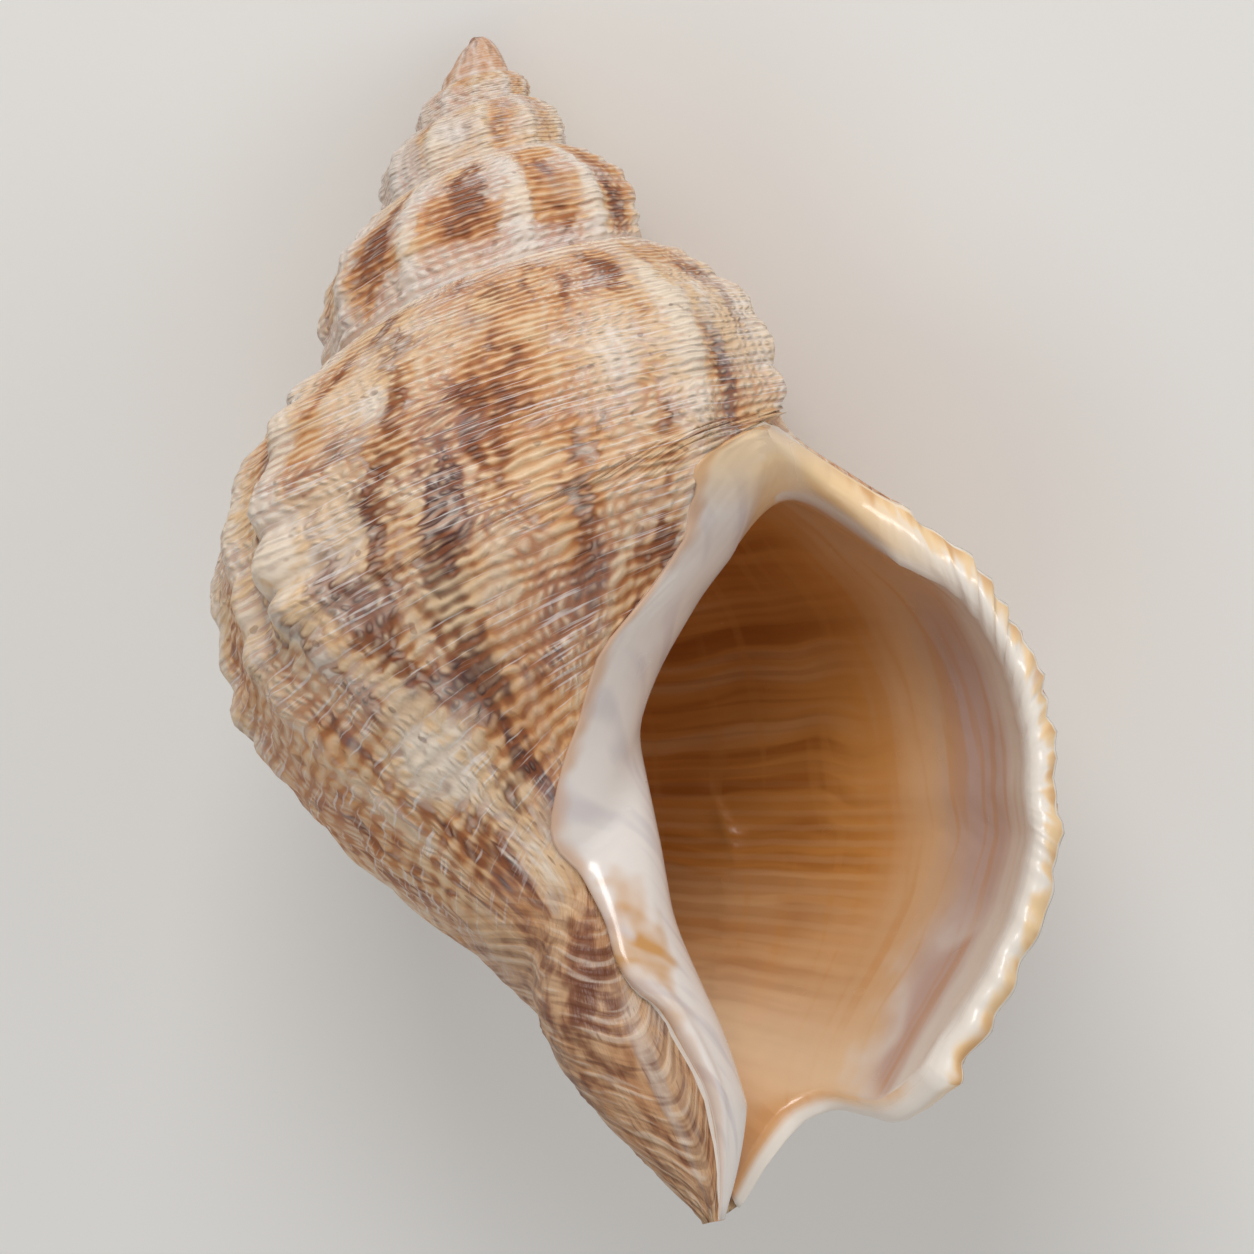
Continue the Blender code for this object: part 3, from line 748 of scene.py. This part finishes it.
# rounds off the corner where the glaze meets the lip: each point moves to the mean of its
# neighbours, many times over, the more the nearer it is to the corner, the outside less
def softened(points, triangles, outer):
    away = np.linalg.norm(points - np.array(corner["centre"]), axis=1)
    weight = np.where(outer, corner["outerShare"] * smooth(1.6 * (1 - away / corner["outerReach"])),
                      smooth(1.4 * (1 - away / corner["reach"])))
    near = weight > 0
    edges = np.concatenate([triangles[:, [0, 1]], triangles[:, [1, 2]], triangles[:, [2, 0]]])
    edges = edges[near[edges[:, 0]] | near[edges[:, 1]]]
    ends = np.concatenate([edges[:, 0], edges[:, 1]])
    others = np.concatenate([edges[:, 1], edges[:, 0]])
    count = np.maximum(np.bincount(ends, minlength=len(points)), 1)
    moved = points.copy()
    for _ in range(corner["times"]):
        sums = [np.bincount(ends, moved[others, k], len(points)) for k in range(3)]
        mean = np.stack([total / count for total in sums], axis=1)
        moved += (mean - moved) * weight[:, None]
    return moved


valueNames = ("rib", "brown", "dark", "grey", "pale", "lamella", "foot", "topEdge", "pillarSide",
              "glazeAcross", "rim", "share")


# puts the surface into a mesh: laid down, coordinates on two UV maps, values on its points
def shellMesh():
    made = shellSurface()
    points = np.concatenate(made.points)
    triangles = np.concatenate(made.triangles)
    corners = np.concatenate(made.corners)
    kinds = np.concatenate(made.kinds)
    outer = np.zeros(len(points), bool)
    outer[triangles[kinds == outside]] = True
    points = softened(points, triangles, outer)
    used, index = np.unique(triangles, return_inverse=True)
    triangles = index.reshape(triangles.shape)
    laid = points[used] @ restAxes().T
    rest["low"] = laid[:, 2].min()
    laid -= np.array([*rest["middle"], rest["low"]])
    mesh = bpy.data.meshes.new("whelkShell")
    mesh.from_pydata((laid * 0.001).tolist(), [], triangles.tolist())
    for name in valueNames:
        values = np.concatenate([part.get(name, np.zeros(len(pts)))
                                 for part, pts in zip(made.values, made.points)])
        layer = mesh.attributes.new(name, "FLOAT", "POINT")
        layer.data.foreach_set("value", values[used].astype(np.float32))
    along, across = skinLengths(corners[..., 0], corners[..., 1])
    for name, pair in (("coilUv", corners), ("skinUv", np.stack([along, across], axis=-1))):
        mesh.uv_layers.new(name=name).data.foreach_set("uv", pair.astype(np.float32).ravel())
    mesh.polygons.foreach_set("material_index", kinds.astype(np.int32))
    work = bmesh.new()
    work.from_mesh(mesh)
    bmesh.ops.recalc_face_normals(work, faces=work.faces)
    openEdges = sum(not edge.is_manifold for edge in work.edges)
    work.to_mesh(mesh)
    work.free()
    mesh.shade_smooth()
    print("shell mesh:", len(mesh.polygons), "triangles,", openEdges, "open edges")
    return mesh


class Wire:  # one output of a node; sums and products of wires add Math nodes
    def __init__(self, tree, socket):
        self.tree, self.socket = tree, socket

    # a Math node over this wire and others, which may be numbers
    def math(self, operation, *others):
        node = self.tree.nodes.new("ShaderNodeMath")
        node.operation = operation
        for slot, value in zip(node.inputs, (self, *others)):
            connect(self.tree, slot, value)
        return Wire(self.tree, node.outputs[0])

    def __add__(self, other):
        return self.math("ADD", other)

    __radd__ = __add__

    def __mul__(self, other):
        return self.math("MULTIPLY", other)

    __rmul__ = __mul__

    def __sub__(self, other):
        return self.math("SUBTRACT", other)

    def __rsub__(self, other):
        return self * -1 + other

    def sin(self):
        return self.math("SINE")

    def atLeast(self, other):
        return self.math("MAXIMUM", other)


# links a wire to a socket, or sets a plain value on it
def connect(tree, slot, value):
    if isinstance(value, Wire):
        tree.links.new(value.socket, slot)
    elif hasattr(slot, "default_value"):
        slot.default_value = value


# display values 0 to 255 made linear light: a power of 2.4, and a straight line near black
def colour(red, green, blue):
    c = np.array([red, green, blue]) / 255
    return (*np.where(c <= 0.04045, c / 12.92, ((c + 0.055) / 1.055) ** 2.4).tolist(), 1)


class Finish:  # a material, the nodes it is made of and the look that its colours come from
    def __init__(self, name, look):
        self.look = look
        self.material = bpy.data.materials.new(name)
        self.material.use_nodes = True
        self.tree = self.material.node_tree
        self.surface = self.tree.nodes["Principled BSDF"]

    # any node: its settings, the values or wires of its inputs, and the output that is used
    def node(self, kind, settings=None, values=None, out=0):
        made = self.tree.nodes.new(kind)
        for key, value in (settings or {}).items():
            setattr(made, key, value)
        for key, value in (values or {}).items():
            connect(self.tree, made.inputs[key], value)
        return Wire(self.tree, made.outputs[out])

    # the two coordinates of a UV map
    def uv(self, name):
        both = self.node("ShaderNodeUVMap", {"uv_map": name})
        return [self.node("ShaderNodeSeparateXYZ", None, {0: both}, out) for out in (0, 1)]

    # a value that the points of the mesh carry
    def value(self, name):
        return self.node("ShaderNodeAttribute", {"attribute_name": name}, None, 2)

    # two coordinates as a vector
    def at(self, x, y):
        return self.node("ShaderNodeCombineXYZ", None, {0: x, 1: y})

    # clouds 0 to 1, about 0.5 in the middle, in space
    def noise(self, where, scale, detail=1, roughness=0.5, sides="3D"):
        return self.node("ShaderNodeTexNoise", {"noise_dimensions": sides},
                         {"Vector": where, "Scale": scale, "Detail": detail, "Roughness": roughness})

    # the same on the shell's skin; the seed moves them along, so that no two are alike
    def clouds(self, x, y, seed=0, detail=1, roughness=0.5):
        return self.noise(self.at(x + 17.3 * seed if seed else x, y), 1, detail, roughness, "2D")

    # smooth 0 to 1 between low and high
    def step(self, value, low, high):
        return self.node("ShaderNodeMapRange", {"interpolation_type": "SMOOTHSTEP"},
                         {0: value, 1: low, 2: high, 3: 0.0, 4: 1.0})

    # a named colour of the look
    def tone(self, name):
        return colour(*self.look[name])

    # blend of two colours
    def mix(self, a, b, share):
        return self.node("ShaderNodeMix", {"data_type": "RGBA"}, {0: share, 6: a, 7: b}, 2)

    # named colours laid over another one, in turn, each with its share
    def over(self, base, **layers):
        for name, share in layers.items():
            base = self.mix(base, self.tone(name), share)
        return base

    # connects colours, roughness and relief to the surface, and sets its shine
    def finish(self, base, roughness, height=None):
        sockets = {"Base Color": base, "Roughness": roughness, **self.look.get("shine", {})}
        if height is not None:
            sockets["Normal"] = self.node("ShaderNodeBump", None, {"Height": height, **self.look["relief"]})
        for key, value in sockets.items():
            connect(self.tree, self.surface.inputs[key], value)
        return self.material


outsideLook = {
    "cream": (225, 190, 148), "pale": (238, 224, 206), "honey": (210, 150, 92), "orange": (170, 94, 40),
    "brown": (108, 58, 34), "dark": (80, 50, 46), "grey": (140, 134, 142), "scratch": (236, 230, 226),
    "frost": (218, 211, 208), "tip": (184, 126, 102), "footBrown": (104, 56, 34), "footTone": (160, 112, 84),
    "strength": {"honey": 0.80, "orange": 0.68, "brown": 0.92, "dark": 0.76, "grey": 0.62, "pale": 0.75,
                 "scratch": 0.55},
    "fineCords": 34, "spireCords": 17, "ridgeSpacing": 0.70,
    "relief": {"Distance": 0.00013, "Strength": 1.0}, "shine": {"Specular IOR Level": 0.40},
}


# the outside: cream lime with brown flames broken up bead by bead, fine cords crossed by
# growth ridges, and pale scratches that run with the coil
def outsideFinish():
    look = outsideLook
    f = Finish("shellOutside", look)
    turn, place = f.uv("coilUv")
    along, across = f.uv("skinUv")
    rib, pale, foot = f.value("rib"), f.value("pale"), f.value("foot")
    onBody = f.step(place, 1.66, 1.40)
    ground = 1 - foot

    # cords run with the coil and ridges cross them, both wavering; a bead stands at each crossing
    wander = f.clouds(along * 0.16, across * 0.35) - 0.5
    drift = f.clouds(along * 0.12, across * 0.22, 3) - 0.5
    jitter = f.clouds(along * 0.9, across * 0.9, 12, 0) - 0.5
    patchy = f.clouds(along * 0.22, across * 0.22, 8)
    late = f.step(turn, -1.06, -1.0)
    cordCount = late * (look["fineCords"] - look["spireCords"]) + look["spireCords"]
    cordPhase = (place + wander * 0.040) * cordCount + jitter * 0.42
    ridgePhase = (along + drift * 3.5 + jitter * 0.45) * (1 / look["ridgeSpacing"])
    cord = (cordPhase * tau).sin() * 0.5 + 0.5
    ridge = (ridgePhase * tau).sin() * 0.5 + 0.5
    beading = f.step(patchy, 0.34, 0.62) * 0.80 + 0.05
    bead = cord * (ridge * beading + (1 - beading) * 0.80) * onBody
    coarse = (cordPhase * (tau / 3) + 1.0).sin() * 0.5 * (late * 0.5 + 0.3) + 0.5
    grain = f.clouds(along * 2.4, across * 2.8, 2, 1, 0.6)

    # broad colour: flames down the whorl, broken up bead by bead
    cell = f.clouds(ridgePhase * 0.95, cordPhase * 0.95, 30, 0) - 0.5
    between = (0.42 - bead) * onBody
    flame = f.clouds(along * 0.40 + wander * 0.9, across * 0.10, 5, 2, 0.6) - 0.5
    flame = flame * (1 - foot * 0.8)
    mottle = f.clouds(along * 0.50, across * 0.26, 4, 2, 0.6) - 0.5
    blotch = f.clouds(along * 0.28, across * 0.95, 17, 2, 0.6) - 0.5
    broad = f.clouds(along * 0.09, across * 0.09, 14) - 0.5
    broken = mixed(mottle * 0.60 + cell * 0.30 + between * 0.17, blotch * 0.55, foot)
    lighter = pale * 0.30 + rib * 0.18 + (1 - late) * 0.04
    warm = f.step(broad * 0.9 + flame * 0.7 + broken - lighter, -0.24, 0.16)
    orange = flame * 1.1 + broken * 1.1 + broad * 0.4 + f.value("brown") * 0.30 - lighter
    brown = flame * 1.8 + broken * 1.1 + f.value("brown") * 0.44 - lighter
    dark = f.step(f.value("dark") * 0.48 + broken * 1.4 + flame * 0.9, 0.15, 0.56)
    grey = f.value("grey") * 0.5 + (patchy - 0.5) * 0.7 + mottle * 0.7
    worn = pale * 0.50 + rib * 0.44 + f.value("topEdge") * 0.40 + broken * 1.6 - broad * 0.7
    worn = f.step(worn + (1 - late) * 0.10, 0.16, 0.46)
    frost = f.step(patchy - flame * 0.8, 0.42, 0.62) * (0.50 - late * 0.32) * onBody
    strength = look["strength"]
    base = f.over(f.tone("cream"), honey=warm * strength["honey"],
                  orange=f.step(orange, -0.02, 0.36) * strength["orange"],
                  brown=f.step(brown, 0.08, 0.48) * strength["brown"], dark=dark * strength["dark"],
                  grey=f.step(grey, 0.14, 0.60) * strength["grey"], pale=worn * strength["pale"],
                  frost=frost, tip=f.step(turn, -3.8, -4.9) * (0.50 - worn * 0.15))

    # beads are lighter than the net between them, and their crests carry a pale painted highlight; scratches
    # lie over both
    net = f.step(bead, 0.36, 0.06) * onBody
    scratch = f.clouds(along * 0.20, place * 150, 1, 1, 0.6)
    scratch = f.step(scratch + patchy * 0.35, 0.77, 0.95) * onBody
    base = f.over(base, orange=net * ground * (warm * 0.38 + 0.08),
                  brown=f.step(coarse, 0.18, 0.05) * ground * (warm * 0.24 + 0.03),
                  # pale on the bead crests: a painted highlight
                  pale=f.step(bead, 0.40, 0.90) * ground * (0.18 - dark * 0.10),
                  scratch=scratch * strength["scratch"])

    # foot: nested growth ridges, dark in their hollows
    lines = f.clouds(f.value("lamella") * 1.4 + drift * 1.2, along * 0.10, 17)
    stained = f.step(blotch * 0.9 + f.value("brown") * 0.12 + f.value("dark") * 0.16, -0.10, 0.34)
    base = f.over(base, footTone=foot * 0.45, footBrown=foot * stained * 0.60)
    base = f.over(base, footBrown=foot * f.step(lines, 0.52, 0.38) * (stained * 0.35 + 0.38),
                  pale=foot * f.step(lines, 0.55, 0.70) * 0.30)

    # pits, and on the small whorls grain in place of beads
    pit = f.step(f.clouds(along * 1.1, across * 1.1, 9), 0.72, 0.79)
    size = f.step(turn, -4.0, -1.6) * 0.75 + 0.25
    base = f.over(base, brown=pit * 0.4)
    base = f.over(base, brown=f.step(grain, 0.50, 0.72) * (1 - size) * 0.40,
                  frost=f.step(grain, 0.48, 0.30) * (1 - size) * 0.45)
    height = (bead * 1.3 + coarse * 0.7) * ground * size + grain * (1.9 - size * 1.5)
    height = height + lines * 1.6 * foot + jitter * 0.5
    return f.finish(base, grain * 0.20 + 0.33 + net * 0.15, height)


insideLook = {
    "deep": (204, 124, 44), "dusk": (158, 90, 34), "amber": (212, 146, 76), "tan": (226, 182, 134),
    "lilac": (208, 178, 164), "canal": (206, 146, 86), "floor": (238, 206, 168), "white": (236, 226, 214),
    "porcelain": (228, 219, 212), "shade": (192, 182, 186), "ochre": (196, 134, 34),
    "cream": (238, 204, 156), "rimSpot": (196, 134, 66),
    "depth": {"lip": (0.030, 0.060), "tan": (0.075, 0.105), "amber": (0.095, 0.145), "deep": (0.15, 0.32),
              "bands": (0.11, 0.19)},            # turns behind the lip where each begins and is full
    "bands": 11, "threads": 42, "ridges": 34,
    "relief": {"Distance": 0.00010, "Strength": 0.8},
    "shine": {"Specular IOR Level": 0.55, "Coat Weight": 0.25, "Coat Roughness": 0.08},
}


# the inside: amber deep down with bands that follow the coil, paling through lilac to
# a white lip, and porcelain glaze on the pillar
def insideFinish():
    look = insideLook
    f = Finish("shellGlaze", look)
    turn, place = f.uv("coilUv")
    side, rim, share = f.value("pillarSide"), f.value("rim"), f.value("share")
    glazeAcross = f.value("glazeAcross")

    where = f.node("ShaderNodeTexCoord", None, None, 3)
    cloud, soft = f.noise(where, 110), f.noise(where, 380)
    bands = f.clouds(turn * 2.2, place * look["bands"] + cloud * 1.4, 3, 2, 0.6)
    threads = f.clouds(turn * 3.0, place * look["threads"] + cloud * 3, 4)
    lipLines = f.clouds(turn * 110 + cloud * 1.5, place * 2.0, 5)

    # depth in turns behind the lip, uneven
    middle = f.step(place, 0.30, 0.70) * f.step(place, 1.50, 1.30)
    depth = turn * -1 + (cloud - 0.5) * 0.03 + (lipLines - 0.5) * 0.014 + (1 - middle) * 0.012 + 0.015
    low = f.step(place, 1.02, 1.24)
    banded = f.step(depth, *look["depth"]["bands"])
    nearLip = f.over(f.tone("tan"), lilac=middle)
    base = f.mix(f.tone("white"), nearLip, f.step(depth, *look["depth"]["lip"]))
    base = f.over(base, tan=f.step(depth, *look["depth"]["tan"]) * 0.9,
                  amber=f.step(depth, *look["depth"]["amber"]) * (1 - low * 0.65),
                  deep=f.step(depth + (bands - 0.5) * 0.20, *look["depth"]["deep"]) * (1 - low * 0.45),
                  dusk=f.step(bands, 0.50, 0.66) * banded * (0.62 - low * 0.2))
    base = f.over(base, tan=f.step(bands, 0.47, 0.34) * banded * 0.36,
                  dusk=f.step(threads, 0.50, 0.66) * banded * 0.30)
    base = f.over(base, dusk=f.step(cloud, 0.52, 0.70) * banded * 0.30,
                  amber=f.step(lipLines, 0.54, 0.68) * f.step(depth, 0.03, 0.06) * 0.32)

    # fine threads, the pale floor, white behind the low lip, and the canal
    thread = (place * (look["ridges"] * tau) + (soft - 0.5) * 2).sin() * 0.5 + 0.5
    threadHere = f.step(place, 0.80, 1.02) * f.step(place, 1.48, 1.36)
    threadHere = threadHere * f.step(depth, 0.09, 0.15) * (1 - side)
    floor = f.step(place, 1.20, 1.36) * f.step(depth, 0.05, 0.09) * f.step(cloud, 0.30, 0.52)
    lowWhite = f.step(place, 1.04, 1.18) * f.step(depth + (soft - 0.5) * 0.05, 0.115, 0.065)
    canalHere = f.step(place, 1.34, 1.50) * f.step(depth, 0.11, 0.17)
    base = f.over(base, tan=f.step(thread, 0.35, 0.95) * threadHere * 0.24, floor=floor * 0.8,
                  white=lowWhite * f.step(cloud, 0.36, 0.50) * 0.65, canal=canalHere * 0.6)

    # glaze on the pillar, with an ochre stain low down
    streak = f.clouds(glazeAcross * 4 + share * 22, share * 4 - glazeAcross, 6)
    stainReach = f.node("ShaderNodeVectorMath", {"operation": "LENGTH"},
                        {0: f.at((glazeAcross - 0.76) * 2.8, (share - 0.61) * 8.5)}, 1)
    stain = f.step(stainReach + (soft - 0.5) * 2.4 + (cloud - 0.5) * 1.6, 1.1, 0.10)
    edge = f.step(glazeAcross + (soft - 0.5) * 0.16, 0.88, 0.985)
    glaze = f.over(f.tone("porcelain"), shade=f.step(streak, 0.50, 0.75) * 0.5,
                   ochre=stain * (f.step(streak, 0.35, 0.60) * 0.30 + 0.60),
                   cream=f.step(share + (cloud - 0.5) * 0.10, 0.12, 0.02) * 0.85,
                   rimSpot=edge * (f.step(share, 0.55, 0.40) * 0.30 + 0.30),
                   deep=f.step(turn, -0.02, -0.16) * 0.8)
    base = f.mix(base, glaze, side)

    # rim of the lip: white, cream at the top and outwards, ochre spots on its beads
    spots = f.clouds(place * 34, rim * 1.2, 7)
    creamy = f.step(rim + (spots - 0.5) * 0.8, 0.50, 0.85).atLeast(f.step(place, 0.40, 0.10))
    rimTone = f.over(f.tone("white"), cream=creamy,
                     rimSpot=f.step(bands + spots * 0.3 + rim * 0.7, 1.16, 1.46) * 0.65)
    onRim = f.step(rim, 0.02, 0.22)
    base = f.mix(base, rimTone, onRim)

    height = thread * (threadHere * 0.5 + banded * (1 - side) * 0.25) + bands * 0.6 + soft * 0.4
    height = height + spots * onRim * 1.6
    return f.finish(base, soft * 0.10 + 0.20 + onRim * 0.08, height)


# puts an object into the scene
def placed(thing):
    bpy.context.scene.collection.objects.link(thing)
    return thing


mesh = shellMesh()
mesh.materials.append(outsideFinish())
mesh.materials.append(insideFinish())
shell = placed(bpy.data.objects.new("whelkShell", mesh))
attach(shell, "root")
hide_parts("shell")
print("shell finished")

# Camera: it looks down on the mouth; across and down are its aim in the shell's own mm
camera = {"swing": 0.1706, "dip": 0.1907, "across": 11.676, "down": 42.246, "reach": 42.254,
          "distance": 450, "width": 88.31, "sensor": 36}


# the view's right, down and away directions in the shell's own axes: turned by swing
# round the axis, then tipped by dip
def viewAxes():
    swing, dip = camera["swing"], camera["dip"]
    right = np.array([np.cos(swing), -np.sin(swing) * np.sin(dip), np.sin(swing) * np.cos(dip)])
    down = np.array([-np.sin(swing), -np.cos(swing) * np.sin(dip), np.cos(swing) * np.cos(dip)])
    return right, down, np.array([0, -np.cos(dip), -np.sin(dip)])


# camera that many mm back from the aim; its lens takes in the given width there
def placeCamera():
    right, down, away = viewAxes()
    back = camera["reach"] * away[2] - camera["distance"]
    eye = right * camera["across"] + down * camera["down"] + away * back
    axes = restAxes()
    matrix = np.eye(4)
    matrix[:3, :3] = np.stack([axes @ right, -(axes @ down), -(axes @ away)], axis=1)
    matrix[:3, 3] = (axes @ eye - np.array([*rest["middle"], rest["low"]])) * 0.001
    data = bpy.data.cameras.new("view")
    data.sensor_width = camera["sensor"]
    data.lens = camera["sensor"] * camera["distance"] / camera["width"]
    data.clip_start, data.clip_end = 0.02, 20
    made = placed(bpy.data.objects.new("view", data))
    made.matrix_world = Matrix(matrix.tolist())
    bpy.context.scene.camera = made
    return made


view = placeCamera()

# Floor and studio lights: soft boxes, each with its direction from the shell in the
# camera's own axes, distance, size and power
studio = {
    "floor": (242, 240, 236), "floorHalf": 3.0, "world": 0.44, "aim": (0, 0, 0.02),
    "boxes": {"key": ((-0.12, 0.60, 0.78), 0.60, 0.26, 1.86), "fill": ((0.75, 0.10, 0.65), 0.75, 0.45, 0.60),
              "low": ((-0.20, -0.85, 0.60), 0.70, 0.35, 0.35)},
}


# a plain square floor
def makeFloor():
    floorMesh = bpy.data.meshes.new("floor")
    half = studio["floorHalf"]
    corners = [(-half, -half, 0), (half, -half, 0), (half, half, 0), (-half, half, 0)]
    floorMesh.from_pydata(corners, [], [(0, 1, 2, 3)])
    f = Finish("floorPaint", studio)
    floorMesh.materials.append(f.finish(f.tone("floor"), 0.9))
    placed(bpy.data.objects.new("floor", floorMesh))


# even white light from all round
def makeWorld():
    world = bpy.data.worlds.new("studio")
    world.use_nodes = True
    background = world.node_tree.nodes["Background"]
    background.inputs["Color"].default_value = (1, 1, 1, 1)
    background.inputs["Strength"].default_value = studio["world"]
    bpy.context.scene.world = world


# square lamps, each at the aim plus its direction times its distance, turned to face the aim
def makeLamps():
    turned = np.array(view.matrix_world)[:3, :3]
    for name, (direction, distance, size, power) in studio["boxes"].items():
        towards = turned @ (np.array(direction) / np.linalg.norm(direction))
        data = bpy.data.lights.new(name, "AREA")
        data.shape = "SQUARE"
        data.size = size
        data.energy = power
        lamp = placed(bpy.data.objects.new(name, data))
        lamp.location = (np.array(studio["aim"]) + towards * distance).tolist()
        lamp.rotation_mode = "QUATERNION"
        lamp.rotation_quaternion = (-Vector(towards.tolist())).to_track_quat("-Z", "Y")


makeFloor()
makeWorld()
makeLamps()
scene = bpy.context.scene
scene.view_settings.view_transform = "Standard"
print("stage and lights made")
